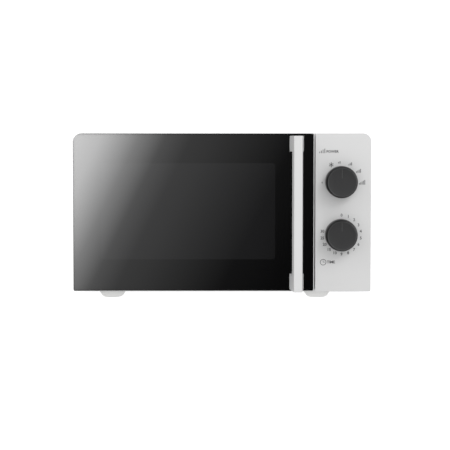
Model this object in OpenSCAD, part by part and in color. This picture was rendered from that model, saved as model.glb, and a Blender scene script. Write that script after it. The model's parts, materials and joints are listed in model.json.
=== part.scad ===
// Countertop microwave oven with a side-hinged glass door, a bar handle and two rotary controls.
// Millimetres. +X is right seen from the front, -Y is the front, +Z is up.
// The origin is under the middle of the oven, on the surface that its feet stand on.

/* [Body] */
// Width of the oven across the front
body_w = 440; // [440:1:480]
// Height of the body without its feet
body_h = 234; // [234:1:260]
// Depth of the steel body behind the door
case_d = 320; // [320:1:360]
// Height of the feet
foot_h = 14.5; // [12:0.5:20]
// Radius of the front's top left corner
corner_l = 13; // [8:1:16]
// Radius of the front's top right corner
corner_r = 12; // [8:1:16]
// Thickness of the steel sheet
sheet_t = 1; // [0.8:0.1:1.2]
// Wall of the plastic mouldings
wall_t = 2.5; // [2:0.1:3]

/* [Cavity] */
// Inner width of the cavity
cav_w = 300; // [290:1:300]
// Inner height of the cavity
cav_h = 196; // [190:1:196]
// Inner depth of the cavity
cav_d = 295; // [280:1:296]
// Inner corner radius of the cavity
cav_r = 8; // [5:1:12]

/* [Door] */
// Thickness of the door
door_t = 34; // [34:1:38]
// Thickness of the front glass
glass_t = 4; // [3:0.5:5]
// Width of the see-through window
window_w = 257; // [220:1:260]
// Height of the see-through window
window_h = 142; // [120:1:150]
// Distance that the handle stands off the glass
handle_proud = 36; // [32:1:42]
// Thickness of the handle's bar, front to back
bar_t = 15; // [12:1:18]
// Width of the handle where it meets the glass
handle_base_w = 21; // [18:0.1:24]
// Width of the handle's front face
handle_front_w = 11.9; // [10:0.1:16]

/* [Controls] */
// Width of the control panel
panel_w = 82.2; // [82:0.1:90]
// Radius of a control knob
knob_r = 23.5; // [20:0.1:25]
// Height of a control knob
knob_h = 17; // [15:1:22]
// Distance of the knobs' axis from the right edge
knob_inset = 44.4; // [40:0.1:46]
// Distance of the power knob's axis below the top
power_drop = 71.6; // [65:0.1:80]
// Distance between the two knobs' axes
knob_pitch = 78.1; // [75:0.1:82]

/* [Turntable] */
// Radius of the glass plate
plate_r = 127.5; // [120:0.5:135]
// Radius of the circle that the rollers run on
track_r = 98; // [90:1:104]
// Radius of a roller
roller_r = 8; // [7:0.5:9]

/* [Hidden] */
$fn = 64;
eps = 0.5;                                // overshoot of a cutting shape

// Overall places
door_gap = 1.5;                           // between the door and the front frame
side_gap = 1.3;                           // between the door and the control panel
spacer_t = 9;                             // rear spacers
depth = handle_proud + door_t + door_gap + case_d + spacer_t;
x_left = -body_w / 2;
x_right = body_w / 2;
z_low = foot_h;
z_top = foot_h + body_h;
z_mid = foot_h + body_h / 2;
y_door = -depth / 2 + handle_proud;       // front face of the glass and the panel
y_hind = y_door + door_t;                 // back face of the door
y_frame = y_hind + door_gap;              // front face of the front frame
y_back = y_frame + case_d;                // back face of the body
panel_x = x_right - panel_w;
door_x = panel_x - side_gap;              // free edge of the door
door_r = 2;                               // small corners of the door and the panel
lip_w = 12;                               // case's folded rear edge
screw_r = 1.7;
screw_head_r = 3.5;

// Cavity and component bay
cav_x0 = x_left + 20;
cav_x1 = cav_x0 + cav_w;
cav_xc = (cav_x0 + cav_x1) / 2;
cav_z0 = foot_h + 21;
cav_z1 = cav_z0 + cav_h;
cav_zc = (cav_z0 + cav_z1) / 2;
cav_y0 = y_frame + sheet_t;
cav_y1 = cav_y0 + cav_d;
cav_yc = (cav_y0 + cav_y1) / 2;
bay_x = cav_x1 + sheet_t;                 // left side of the component bay
bay_xc = (bay_x + x_right) / 2;
bay_open_x = cav_x1 + 6;                  // left edge of the front frame's bay opening

// Door parts, front to back
trim_y = y_door + glass_t;                // front of the plastic trim
screen_y = trim_y + 10;                   // perforated steel screen
cover_t = 4;                              // choke cover
pan_x0 = x_left + 6;
pan_x1 = door_x - 29;
pan_z = 10;                               // pan's distance from the door's top and bottom
pan_y = y_hind - 8;                       // back of the steel pan
pivot_x = x_left + 11;
pivot_y = y_hind - 15;
tongue_t = 3;
tongue_z = body_h / 2 - 9;                // underside of the upper tongue above mid height
pin_r = 2.5;
edge_r = 8;                               // the door's back left corner, seen from above
handle_x = x_left + 330.2;
handle_end = 3.7;                         // handle's distance from the door's top and bottom
post_up = 23;
post_low = 23;
screw_inset = 12;                         // handle screws from the handle's ends

// Latch and interlock
latch_x = door_x - 17.5;
slider_y = y_hind - 12;
slider_t = 6;
hook_up = z_top - 57;
hook_low = z_low + 62;
hook_w = 5;
latch_travel = 5;
bracket_d = 24;
switch_y = cav_y0 + bracket_d;            // front of the microswitches
plunger_r = 1.5;
plunger_out = 2.2;
hook_y = switch_y - plunger_out - 0.4;    // tips of the hooks
monitor_z = hook_low + 36;
lever_y = switch_y - 8;
lever_z = hook_low + 20;

// Controls
knob_x = x_right - knob_inset;
power_z = z_top - power_drop;
timer_z = power_z - knob_pitch;
knob_gap = 1;                             // behind the knob
shaft_r = 3;
knob_bore = knob_h - 3;
switch_front = y_door + 12;               // front of the rotary switches
run_gap = 0.05;                           // radial clearance of a running fit

// Magnetron side
guide_y = cav_yc - 35;                    // waveguide's near side
guide_w = 86;
guide_d = 40;
guide_z0 = cav_z0 + 62;
guide_z1 = cav_z1 - 24;
tube_y = guide_y + guide_w / 2;           // axis of the magnetron
tube_z = guide_z1 - 30;
fan_z = cav_z0 + 126;
fan_y = cav_y1 - 29;                      // front of the fan shroud
fan_r = 48;

// Turntable
hub_r = 10;
roller_w = 6;
plate_gap = 0.3;
plate_z = cav_z0 + 2 * roller_r + plate_gap;
plate_t = 4;
rim_h = 12;

// Feet
foot_left = x_left + 53;
foot_right = x_right - 75.5;
foot_front = y_frame + 21;
foot_rear = y_back - 30;
foot_r = 20;
foot_tip_r = 13.5;
foot_hole_r = 5;
cord_x = x_right - 32;
cord_z = z_low + 30;
cord_bore = 3.7;

// ---- helpers ----

// A 2-D shape in X and Z, made thick from y0 to y1
module slab(y0, y1) {
    translate([0, y1, 0]) rotate([90, 0, 0]) linear_extrude(y1 - y0) children();
}

// A 2-D shape in Y and Z, made thick from x0 to x1
module side(x0, x1) {
    translate([x0, 0, 0]) rotate([90, 0, 90]) linear_extrude(x1 - x0) children();
}

// A 2-D shape in X and Y, made thick from z0 to z1
module plan(z0, z1) {
    translate([0, 0, z0]) linear_extrude(z1 - z0) children();
}

module block(lo, hi) {
    translate(lo) cube(hi - lo);
}

module rod_x(y, z, x0, x1, r) {
    translate([x0, y, z]) rotate([0, 90, 0]) cylinder(h = x1 - x0, r = r);
}

module rod_y(x, z, y0, y1, r) {
    translate([x, y0, z]) rotate([-90, 0, 0]) cylinder(h = y1 - y0, r = r);
}

module rod_z(x, y, z0, z1, r) {
    translate([x, y, z0]) cylinder(h = z1 - z0, r = r);
}

// Cuts a square corner at (x, z) back to radius r; sx and sz point into the outline
module corner_cut(x, z, r, sx, sz) {
    translate([x, z]) difference() {
        translate([min(sx * r, -sx), min(sz * r, -sz)]) square([r + 1, r + 1]);
        translate([sx * r, sz * r]) circle(r);
    }
}

// Rectangle with a radius for each corner: top left, top right, bottom right, bottom left
module rounded(x0, z0, x1, z1, r) {
    difference() {
        translate([x0, z0]) square([x1 - x0, z1 - z0]);
        corner_cut(x0, z1, r[0], 1, -1);
        corner_cut(x1, z1, r[1], -1, -1);
        corner_cut(x1, z0, r[2], -1, 1);
        corner_cut(x0, z0, r[3], 1, 1);
    }
}

// Outline with two rounded top corners and a square bottom
module arch(x0, z0, x1, z1, rl, rr) {
    difference() {
        translate([x0, z0]) square([x1 - x0, z1 - z0]);
        corner_cut(x0, z1, rl, 1, -1);
        corner_cut(x1, z1, rr, -1, -1);
    }
}

// Puts its children at the top and, mirrored, at the bottom of the door
module both_ends() {
    children();
    translate([0, 0, 2 * z_mid]) mirror([0, 0, 1]) children();
}

// Cavity's outline, grown by g
module cavity_outline(g) {
    r = cav_r + g;
    rounded(cav_x0 - g, cav_z0 - g, cav_x1 + g, cav_z1 + g, [r, r, r, r]);
}

// Window's outline, grown by g
module window_outline(g, r) {
    rounded(cav_xc - window_w / 2 - g, cav_zc - window_h / 2 - g,
        cav_xc + window_w / 2 + g, cav_zc + window_h / 2 + g, [r, r, r, r]);
}

// Door's outline, drawn in by g
module door_outline(g) {
    rounded(x_left + g, z_low + g, door_x - g, z_top - g,
        [corner_l - g, door_r, door_r, door_r]);
}

// Two columns of nine louvre slots through a side wall
module side_vents(x0, x1, y, z) {
    for (row = [0:8]) for (col = [0:1])
        block([x0, y + col * 46, z + row * 8], [x1, y + col * 46 + 38, z + row * 8 + 3.5]);
}

// Grid of small round holes along X, centred on a point of a side wall
module holes_x(y, z, columns, rows) {
    for (i = [1:columns]) for (j = [1:rows])
        rod_x(y + (i - (columns + 1) / 2) * 7, z + (j - (rows + 1) / 2) * 7,
            cav_x0 - sheet_t - eps, cav_x1 + sheet_t + eps, 1.75);
}

// ---- steel body ----

case_screw_places = concat(
    [for (x = [-120, 0, 120]) [x, z_top - lip_w / 2]],
    [for (x = [x_left + lip_w / 2, x_right - lip_w / 2]) for (z = [-70, 60]) [x, z_mid + z]]);

module outer_case() {
    color("white") difference() {
        union() {
            slab(y_frame, y_back) difference() {
                arch(x_left, z_low, x_right, z_top, corner_l, corner_r);
                arch(x_left + sheet_t, z_low - eps, x_right - sheet_t, z_top - sheet_t,
                    corner_l - sheet_t, corner_r - sheet_t);
            }
            slab(y_back - sheet_t, y_back) difference() {
                arch(x_left, z_low, x_right, z_top, corner_l, corner_r);
                arch(x_left + lip_w, z_low - eps, x_right - lip_w, z_top - lip_w, 4, 4);
            }
        }
        side_vents(x_left - eps, x_left + sheet_t + eps, y_back - 120, z_top - 110);
        side_vents(x_right - sheet_t - eps, x_right + eps, tube_y - 42, z_top - 110);
        for (p = case_screw_places) rod_y(p[0], p[1], y_back - 2, y_back + 1, screw_r + 0.1);
    }
}

module rear_panel() {
    y0 = y_back - 2 * sheet_t;
    color("silver") difference() {
        slab(y0, y0 + sheet_t) arch(x_left + sheet_t, z_low, x_right - sheet_t,
            z_top - sheet_t, corner_l - sheet_t, corner_r - sheet_t);
        for (row = [0:8])
            block([bay_xc - 36, y0 - eps, fan_z - 38 + row * 9],
                [bay_xc + 36, y_back, fan_z - 34 + row * 9]);
        for (row = [0:7]) for (col = [0:1])
            block([cav_x0 + 20 + col * 56, y0 - eps, z_top - 100 + row * 9],
                [cav_x0 + 66 + col * 56, y_back, z_top - 96 + row * 9]);
        rod_y(cord_x, cord_z, y0 - eps, y_back, 8.1);
        for (p = case_screw_places) rod_y(p[0], p[1], y0 - eps, y_back, screw_r + 0.1);
    }
}

module base_plate() {
    x0 = x_left + sheet_t;
    x1 = x_right - sheet_t;
    y1 = y_back - 2 * sheet_t;
    color("silver") {
        difference() {
            block([x0, cav_y0, z_low], [x1, y1, z_low + sheet_t]);
            rod_z(cav_xc, cav_yc, z_low - eps, z_low + sheet_t + eps, 30);
            for (i = [0:6])
                block([bay_xc - 40, 70 + i * 9, z_low - eps],
                    [bay_xc + 40, 74 + i * 9, z_low + sheet_t + eps]);
        }
        for (x = [x0, x1 - sheet_t])
            block([x, cav_y0, z_low + sheet_t], [x + sheet_t, y1, z_low + 12]);
    }
}

module front_frame() {
    x0 = x_left + sheet_t;
    x1 = x_right - sheet_t;
    color("whitesmoke") difference() {
        slab(y_frame, cav_y0) difference() {
            arch(x0, z_low, x1, z_top - sheet_t, corner_l - sheet_t, corner_r - sheet_t);
            cavity_outline(0);
            rounded(bay_open_x, z_low + 10, x1 - 6, z_top - 12, [3, 3, 3, 3]);
        }
        both_ends() block([pivot_x - 6.3, y_frame - eps, z_mid + tongue_z - 0.3],
            [pivot_x + 6.3, cav_y0 + eps, z_mid + tongue_z + tongue_t + 0.3]);
    }
}

// Strip between the cavity and the controls, with a slot for each latch hook
module latch_plate() {
    color("whitesmoke") difference() {
        block([bay_open_x, y_frame, z_low + 13], [panel_x + 6, cav_y0, z_top - 15]);
        for (h = [hook_low, hook_up])
            block([latch_x - 5, y_frame - eps, h - 13], [latch_x + 7, cav_y0 + eps, h + 10]);
    }
}

module cavity() {
    color("gainsboro") difference() {
        slab(cav_y0, cav_y1 + sheet_t) cavity_outline(sheet_t);
        slab(cav_y0 - eps, cav_y1) cavity_outline(0);
        rod_z(cav_xc, cav_yc, cav_z0 - sheet_t - eps, cav_z0 + eps, 6);
        block([cav_x1 - eps, guide_y + 10, guide_z0 + 8],
            [cav_x1 + sheet_t + eps, guide_y + guide_w - 10, guide_z0 + 48]);
        intersection() {
            union() {
                holes_x(cav_y0 + 45, cav_zc, 5, 5);
                holes_x(lamp_y, lamp_z, 5, 5);
            }
            block([cav_x1 - 1, cav_y0, cav_z0], [cav_x1 + 2, cav_y1, cav_z1]);
        }
        intersection() {
            holes_x(cav_y1 - 50, cav_z1 - 50, 6, 6);
            block([cav_x0 - 2, cav_y0, cav_z0], [cav_x0 + 1, cav_y1, cav_z1]);
        }
    }
}

module feet() {
    color("white") for (x = [foot_left, foot_right]) for (y = [foot_front, foot_rear])
        translate([x, y, 0]) rotate_extrude() polygon([
            [foot_hole_r, 0], [foot_tip_r, 0], [foot_tip_r + 2.3, 1.5], [foot_r - 0.4, foot_h / 2],
            [foot_r, foot_h], [0, foot_h], [0, 3], [foot_hole_r, 3]]);
}

module rear_spacers() {
    color("dimgray") for (x = [-150, 150])
        rod_y(x, z_top - 30, y_back - sheet_t, y_back + spacer_t, 9);
}

module case_screws() {
    color("silver") for (p = case_screw_places) {
        rod_y(p[0], p[1], y_back, y_back + 2, screw_head_r);
        rod_y(p[0], p[1], y_back - 8, y_back, screw_r);
    }
}

module cord_grommet() {
    color("dimgray") difference() {
        union() {
            rod_y(cord_x, cord_z, y_back - sheet_t, y_back + 3, 11);
            rod_y(cord_x, cord_z, y_back - 10, y_back - sheet_t, 8);
        }
        rod_y(cord_x, cord_z, y_back - 10 - eps, y_back + 3 + eps, cord_bore);
    }
}

// ---- microwave generator ----

module waveguide() {
    x1 = bay_x + guide_d;
    y1 = guide_y + guide_w;
    color("silver") difference() {
        block([bay_x, guide_y, guide_z0], [x1, y1, guide_z1]);
        block([bay_x - eps, guide_y + sheet_t, guide_z0 + sheet_t],
            [x1 - sheet_t, y1 - sheet_t, guide_z1 - sheet_t]);
        rod_x(tube_y, tube_z, x1 - sheet_t - eps, x1 + eps, 12);
    }
}

module waveguide_cover() {
    color("tan") block([cav_x1 - 0.8, guide_y + 4, guide_z0 + 2],
        [cav_x1, guide_y + guide_w - 4, guide_z0 + 54]);
}

module magnetron_anode() {
    x0 = bay_x + guide_d;
    color("silver") {
        rod_x(tube_y, tube_z, x0 - 24, x0 + 6, 8);
        rod_x(tube_y, tube_z, x0 + 2, x0 + 53, 19);
        for (i = [0:6])
            block([x0 + 8 + i * 6, tube_y - 30, tube_z - 30],
                [x0 + 8.8 + i * 6, tube_y + 30, tube_z + 30]);
    }
}

module magnetron_yoke() {
    x0 = bay_x + guide_d;
    color("gray") {
        difference() {
            block([x0, tube_y - 33, tube_z - 34], [x0 + 55, tube_y + 33, tube_z + 34]);
            block([x0 + 2, tube_y - 33 - eps, tube_z - 32], [x0 + 53, tube_y + 33 + eps, tube_z + 32]);
            rod_x(tube_y, tube_z, x0 - eps, x0 + 3, 12);
        }
        block([x0 + 55, tube_y - 25, tube_z - 22], [x0 + 75, tube_y + 25, tube_z + 22]);
    }
}

core_z = z_low + sheet_t;
core_y0 = tube_y - 25;
core_y1 = tube_y + 25;

module transformer_core() {
    color("dimgray") difference() {
        block([bay_xc - 46, core_y0, core_z], [bay_xc + 46, core_y1, core_z + 78]);
        for (x = [-31, 14])
            block([bay_xc + x, core_y0 - eps, core_z + 16],
                [bay_xc + x + 17, core_y1 + eps, core_z + 62]);
    }
}

// One coil around the core's middle leg
module coil(z0, z1) {
    plan(z0, z1) difference() {
        rounded(bay_xc - 30, core_y0 - 15, bay_xc + 30, core_y1 + 15, [8, 8, 8, 8]);
        translate([bay_xc - 14, core_y0]) square([28, core_y1 - core_y0]);
    }
}

module transformer_windings() {
    color("peru") {
        coil(core_z + 17, core_z + 37);
        coil(core_z + 41, core_z + 61);
    }
}

cap_x = bay_xc - 15;
cap_y0 = core_y1 + 47;
cap_y1 = cap_y0 + 80;
cap_z = core_z + sheet_t;

module capacitor_outline(g) {
    rounded(cap_x - 27 - g, cap_z - g, cap_x + 27 + g, cap_z + 35 + g,
        [17 + g, 17 + g, 17 + g, 17 + g]);
}

module capacitor() {
    color("silver") slab(cap_y0, cap_y1) capacitor_outline(0);
    color("black") for (x = [-13, 13])
        block([cap_x + x - 3, cap_y0 - 9, cap_z + 20], [cap_x + x + 3, cap_y0, cap_z + 21]);
}

module capacitor_strap() {
    color("gray") slab(cap_y0 + 30, cap_y0 + 44) difference() {
        capacitor_outline(1);
        capacitor_outline(0);
    }
}

module hv_diode() {
    y = cap_y0 - 6;
    z = cap_z + 34;
    color("black") rod_x(y, z, cap_x - 9, cap_x + 9, 3.5);
    color("silver") for (s = [-1, 1]) {
        block([cap_x + s * 11 - 2.5, y - 0.5, z - 0.5], [cap_x + s * 11 + 2.5, y + 0.5, z + 0.5]);
        block([cap_x + s * 13 - 0.5, y - 0.5, cap_z + 21], [cap_x + s * 13 + 0.5, y + 0.5, z + 0.5]);
    }
}

// ---- fan, lamp and electrics ----

module fan_shroud() {
    color("ivory") slab(fan_y, fan_y + 30) difference() {
        rounded(bay_x + 3, fan_z - 56, x_right - 4, fan_z + 56, [6, 6, 6, 6]);
        translate([bay_xc, fan_z]) circle(fan_r + 4);
    }
}

module fan_motor() {
    y0 = fan_y + 30;
    color("gray") difference() {
        union() {
            block([bay_x + 3, y0, fan_z - 6], [x_right - 4, y0 + 2, fan_z + 6]);
            block([bay_xc - 30, y0 + 2, fan_z - 22], [bay_xc + 30, y0 + 13, fan_z + 22]);
            rod_y(bay_xc, fan_z, y0 + 13, y0 + 17, 10);
        }
        rod_y(bay_xc, fan_z, y0 - eps, y0 + 15, 1.6 + run_gap);
    }
    color("peru") block([bay_xc - 18, y0 + 2, fan_z - 34], [bay_xc + 18, y0 + 15, fan_z - 22]);
}

module fan_blade() {
    color("lightgray") {
        translate([bay_xc, fan_y + 14, fan_z]) rotate([-90, 0, 0]) {
            translate([0, 0, -8]) cylinder(h = 16, r = 9);
            for (i = [0:4]) rotate(i * 72) rotate([35, 0, 0])
                translate([7, -10, -0.75]) cube([fan_r - 8, 20, 1.5]);
        }
        rod_y(bay_xc, fan_z, fan_y + 20, fan_y + 44, 1.6);
    }
}

lamp_y = cav_y1 - 62;
lamp_z = cav_z1 - 38;

module lamp_bulb() {
    color("lightyellow") {
        translate([bay_x + 26, lamp_y, lamp_z]) rotate([0, -90, 0]) rotate_extrude()
            difference() {
                square([10, 23]);
                corner_cut(10, 23, 9, -1, -1);
            }
        rod_x(lamp_y, lamp_z, bay_x + 25, bay_x + 38, 6);
    }
}

module lamp_holder() {
    color("ivory") difference() {
        block([bay_x + 26, lamp_y - 13, lamp_z - 13], [bay_x + 46, lamp_y + 13, lamp_z + 13]);
        rod_x(lamp_y, lamp_z, bay_x + 26 - eps, bay_x + 39, 6.2);
    }
}

module cutout(x, y, z) {
    rod_z(x, y, z, z + 2, 12);
    rod_z(x, y, z + 2, z + 8, 8);
}

module thermal_cutouts() {
    color("black") {
        cutout(cav_x1 - 40, cav_yc, cav_z1 + sheet_t);
        cutout(bay_x + guide_d + 28, tube_y, tube_z + 34);
    }
}

board_z = cav_z1 - 4;
board_y = cav_y0 + 20;

module filter_board() {
    color("darkolivegreen")
        block([bay_x + 11, board_y, board_z], [x_right - 14, board_y + 60, board_z + 1.6]);
    color("peru") difference() {
        rod_z(bay_x + 40, board_y + 38, board_z + 1.6, board_z + 12, 12);
        rod_z(bay_x + 40, board_y + 38, board_z + 1.5, board_z + 13, 6);
    }
    color("gold") block([bay_x + 62, board_y + 28, board_z + 1.6],
        [bay_x + 88, board_y + 40, board_z + 14]);
}

module fuse_holder() {
    color("black") block([bay_x + 30, board_y + 6, board_z + 1.6],
        [bay_x + 62, board_y + 16, board_z + 5]);
    color("white") rod_x(board_y + 11, board_z + 8, bay_x + 31, bay_x + 61, 3);
}

// ---- controls ----

module control_panel() {
    i = wall_t;
    color("white") difference() {
        union() {
            difference() {
                slab(y_door, y_frame)
                    rounded(panel_x, z_low, x_right, z_top, [door_r, corner_r, door_r, door_r]);
                slab(y_door + i, y_frame + eps)
                    rounded(panel_x + i, z_low + i, x_right - i, z_top - i,
                        [1, corner_r - i, 1, 1]);
            }
            for (z = [power_z, timer_z]) for (dx = [-16, 16]) for (dz = [-16, 16])
                rod_y(knob_x + dx, z + dz, y_door + i / 2, switch_front, 3);
        }
        for (z = [power_z, timer_z]) rod_y(knob_x, z, y_door - eps, y_door + i + eps, 5.5);
    }
}

// Hollow knob with a hub, a bevelled face and a raised pointer line
module knob(z) {
    color([0.24, 0.24, 0.25]) translate([knob_x, y_door - knob_gap, z]) {
        rotate([90, 0, 0]) rotate_extrude() polygon([
            [0, knob_h], [knob_r - 3.1, knob_h], [knob_r - 0.4, knob_h - 2.2],
            [knob_r, knob_h - 6], [knob_r, 0], [knob_r - 2.3, 0],
            [knob_r - 2.3, knob_h - 4.5], [7, knob_h - 4.5], [7, 0],
            [shaft_r + run_gap, 0], [shaft_r + run_gap, knob_bore], [0, knob_bore]]);
        translate([-0.6, -knob_h - 0.3, 6]) cube([1.2, 0.6, knob_r - 10.5]);
    }
}

module shaft(z) {
    color("silver")
        rod_y(knob_x, z, y_door - knob_gap - knob_bore, switch_front + 11, shaft_r);
}

// Body of a rotary switch behind the panel: half width, half height and depth
module rotary_switch(z, w, h, d) {
    difference() {
        union() {
            block([knob_x - w, switch_front, z - h], [knob_x + w, switch_front + d, z + h]);
            rod_y(knob_x, z, y_door + 1, switch_front, 5);
        }
        rod_y(knob_x, z, y_door, switch_front + 12, shaft_r + run_gap);
    }
}

module power_knob() { knob(power_z); }
module timer_knob() { knob(timer_z); }
module power_shaft() { shaft(power_z); }
module timer_shaft() { shaft(timer_z); }

module power_switch() {
    color("ivory") rotary_switch(power_z, 21, 21, 30);
    color("silver") for (x = [-12, 0, 12])
        block([knob_x + x - 3, switch_front + 30, power_z - 4],
            [knob_x + x + 3, switch_front + 38, power_z - 3.2]);
}

module timer_switch() {
    color("ivory") rotary_switch(timer_z, 25, 27, 34);
    color("gold") rod_y(knob_x, timer_z, switch_front + 34, switch_front + 44, 20);
}

// ---- interlock ----

module interlock_bracket() {
    color("ivory") {
        difference() {
            block([latch_x - 9, cav_y0, hook_low - 18], [latch_x + 12, switch_y, hook_up + 16]);
            block([latch_x - 5, cav_y0 - eps, hook_low - 14],
                [latch_x + 8, switch_y + eps, monitor_z + 8]);
            block([latch_x - 5, cav_y0 - eps, hook_up - 14],
                [latch_x + 8, switch_y + eps, hook_up + 11]);
        }
        rod_x(lever_y, lever_z, latch_x - 6, latch_x + 9, 1.5);
    }
}

// Bell crank: the latch lifts its lower arm and its upper arm reaches for the monitor switch
module interlock_lever() {
    x0 = latch_x - 2;
    x1 = latch_x + 2;
    color("lightgray") difference() {
        union() {
            rod_x(lever_y, lever_z, x0, x1, 4);
            rod_x(lever_y - 10, lever_z - 7, x0, x1, 2.5);
            rod_x(lever_y + 1.5, lever_z + 14, x0, x1, 2.5);
            side(x0, x1) polygon([[lever_y - 3, lever_z - 2], [lever_y, lever_z - 4],
                [lever_y - 9, lever_z - 9], [lever_y - 12, lever_z - 5.6]]);
            side(x0, x1) polygon([[lever_y - 3, lever_z], [lever_y + 3, lever_z],
                [lever_y + 3.6, lever_z + 14], [lever_y - 0.6, lever_z + 14]]);
        }
        rod_x(lever_y, lever_z, x0 - 1, x1 + 1, 1.5 + run_gap);
    }
}

switch_places = [hook_up - 3, hook_low - 3, monitor_z];

module microswitches() {
    color([0.2, 0.2, 0.22]) for (z = switch_places) difference() {
        block([latch_x - 5.1, switch_y, z - 13.9], [latch_x + 5.1, switch_y + 15.9, z + 13.9]);
        rod_y(latch_x, z, switch_y - eps, switch_y + 5.5, plunger_r + run_gap);
    }
}

module plunger(z) {
    color("crimson") rod_y(latch_x, z, switch_y - plunger_out, switch_y + 4, plunger_r);
}

module primary_plunger() { plunger(switch_places[0]); }
module secondary_plunger() { plunger(switch_places[1]); }
module monitor_plunger() { plunger(switch_places[2]); }

// ---- door ----

// Room in the door's back left corner for the hinge tongues to swing in
module hinge_notch() {
    z0 = z_mid + tongue_z;
    both_ends() block([x_left - eps, pivot_y - 10, z0 - 1.5],
        [pivot_x + 7.5, y_hind + eps, z0 + tongue_t + 1.5]);
}

module hinge_brackets() {
    z0 = z_mid + tongue_z;
    color("silver") both_ends() difference() {
        union() {
            rod_z(pivot_x, pivot_y, z0, z0 + tongue_t, 6);
            block([pivot_x - 6, pivot_y, z0], [pivot_x + 6, cav_y0 + 2, z0 + tongue_t]);
            block([pivot_x - 7, cav_y0, z0 - 22], [pivot_x + 7, cav_y0 + 2, z0 + 4]);
        }
        rod_z(pivot_x, pivot_y, z0 - eps, z0 + tongue_t + eps, pin_r + run_gap);
    }
}

module hinge_pins() {
    z0 = z_mid + tongue_z;
    color("gray") both_ends() {
        rod_z(pivot_x, pivot_y, z0 - 12, z0 + tongue_t, pin_r);
        rod_z(pivot_x, pivot_y, z0 + tongue_t, z0 + tongue_t + 1, pin_r + 1);
    }
}

module hinge_bushes() {
    z0 = z_mid + tongue_z;
    color("white") both_ends() difference() {
        union() {
            rod_z(pivot_x, pivot_y, z0 - 14, z0 - 1, 4);
            rod_z(pivot_x, pivot_y, z0 - 1, z0 - 0.5, 5);
        }
        rod_z(pivot_x, pivot_y, z0 - 13, z0, pin_r + run_gap);
    }
}

module door_glass() {
    color([0.08, 0.08, 0.09]) difference() {
        slab(y_door, trim_y) rounded(x_left + 0.4, z_low + 1.6, door_x - 1.5, z_top - 0.4,
            [corner_l - 0.4, door_r, door_r, door_r]);
        for (z = handle_screw_places) rod_y(handle_x, z, y_door - eps, trim_y + eps, 2.3);
    }
}

module door_trim() {
    i = wall_t;
    color("white") difference() {
        union() {
            slab(trim_y, trim_y + i) difference() {
                door_outline(0);
                window_outline(0, 4);
            }
            slab(trim_y + i, y_hind) difference() {
                door_outline(0);
                door_outline(i);
            }
            intersection() {
                slab(y_hind - edge_r, y_hind) door_outline(0);
                block([x_left, y_hind - edge_r, z_low], [x_left + edge_r, y_hind, z_top]);
            }
            block([latch_x - 5, slider_y, hook_low - 38],
                [door_x - i + 0.2, slider_y + slider_t, hook_low - 35.5]);
        }
        // Rounds the back left edge
        plan(z_low - eps, z_top + eps) difference() {
            translate([x_left - eps, y_hind - edge_r]) square(edge_r + eps);
            translate([x_left + edge_r, y_hind - edge_r]) circle(edge_r);
        }
        hinge_notch();
        for (z = handle_screw_places) rod_y(handle_x, z, trim_y - eps, trim_y + i + eps, 2.3);
    }
}

// Pan of sheet steel: the screen with an outer wall and an inner wall, which form the choke
module door_steel() {
    z0 = z_low + pan_z;
    z1 = z_top - pan_z;
    t = sheet_t;
    color("darkgray") difference() {
        union() {
            slab(screen_y, screen_y + t) rounded(pan_x0, z0, pan_x1, z1, [3, 3, 3, 3]);
            slab(screen_y + t, pan_y) {
                difference() {
                    rounded(pan_x0, z0, pan_x1, z1, [3, 3, 3, 3]);
                    rounded(pan_x0 + t, z0 + t, pan_x1 - t, z1 - t, [2, 2, 2, 2]);
                }
                difference() {
                    window_outline(9, 8);
                    window_outline(9 - t, 7);
                }
            }
        }
        both_ends() rod_z(pivot_x, pivot_y, z1 - 2, z1 + eps, 4);
    }
}

module choke_cover() {
    g = wall_t + 0.3;
    y0 = y_hind - cover_t;
    color("white") difference() {
        union() {
            slab(y0, y_hind) rounded(x_left + edge_r + 0.3, z_low + g, door_x - g, z_top - g,
                [6, 1, 1, 1]);
            slab(pan_y, y0) rounded(x_left + edge_r + 0.3, z_low + pan_z, pan_x1, z_top - pan_z,
                [3, 3, 3, 3]);
        }
        slab(y0 - eps, y_hind + eps) window_outline(5, 8);
        slab(pan_y - eps, y0) window_outline(12, 10);
        for (h = [hook_low, hook_up])
            block([latch_x - 4, y0 - eps, h - 13], [latch_x + 4, y_hind + eps, h + 10]);
        hinge_notch();
    }
}

module inner_film() {
    y1 = y_hind - cover_t;
    color([0.8, 0.85, 0.85, 0.4]) slab(y1 - 0.8, y1) window_outline(11.5, 9.5);
}

handle_z0 = z_low + handle_end;
handle_z1 = z_top - handle_end;
handle_screw_places = [handle_z0 + screw_inset, handle_z1 - screw_inset];

// Bar handle on two posts: wide at the glass, narrow at its front face
module handle() {
    y0 = y_door - handle_proud;
    color("white") difference() {
        intersection() {
            plan(handle_z0, handle_z1) polygon([
                [handle_x - handle_base_w / 2, y_door], [handle_x + handle_base_w / 2, y_door],
                [handle_x + handle_front_w / 2, y0], [handle_x - handle_front_w / 2, y0]]);
            side(handle_x - handle_base_w, handle_x + handle_base_w) difference() {
                translate([y0, handle_z0]) square([handle_proud, handle_z1 - handle_z0]);
                rounded(y0 + bar_t, handle_z0 + post_low, y_door + 1, handle_z1 - post_up,
                    [4, eps, eps, 4]);
            }
        }
        for (z = handle_screw_places) rod_y(handle_x, z, y_door - 17, y_door + eps, 2 + run_gap);
    }
}

module handle_screws() {
    y1 = trim_y + wall_t;
    color("silver") for (z = handle_screw_places) {
        rod_y(handle_x, z, y_door - 16, y1, 2);
        rod_y(handle_x, z, y1, y1 + 2.5, 4);
    }
}

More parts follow.
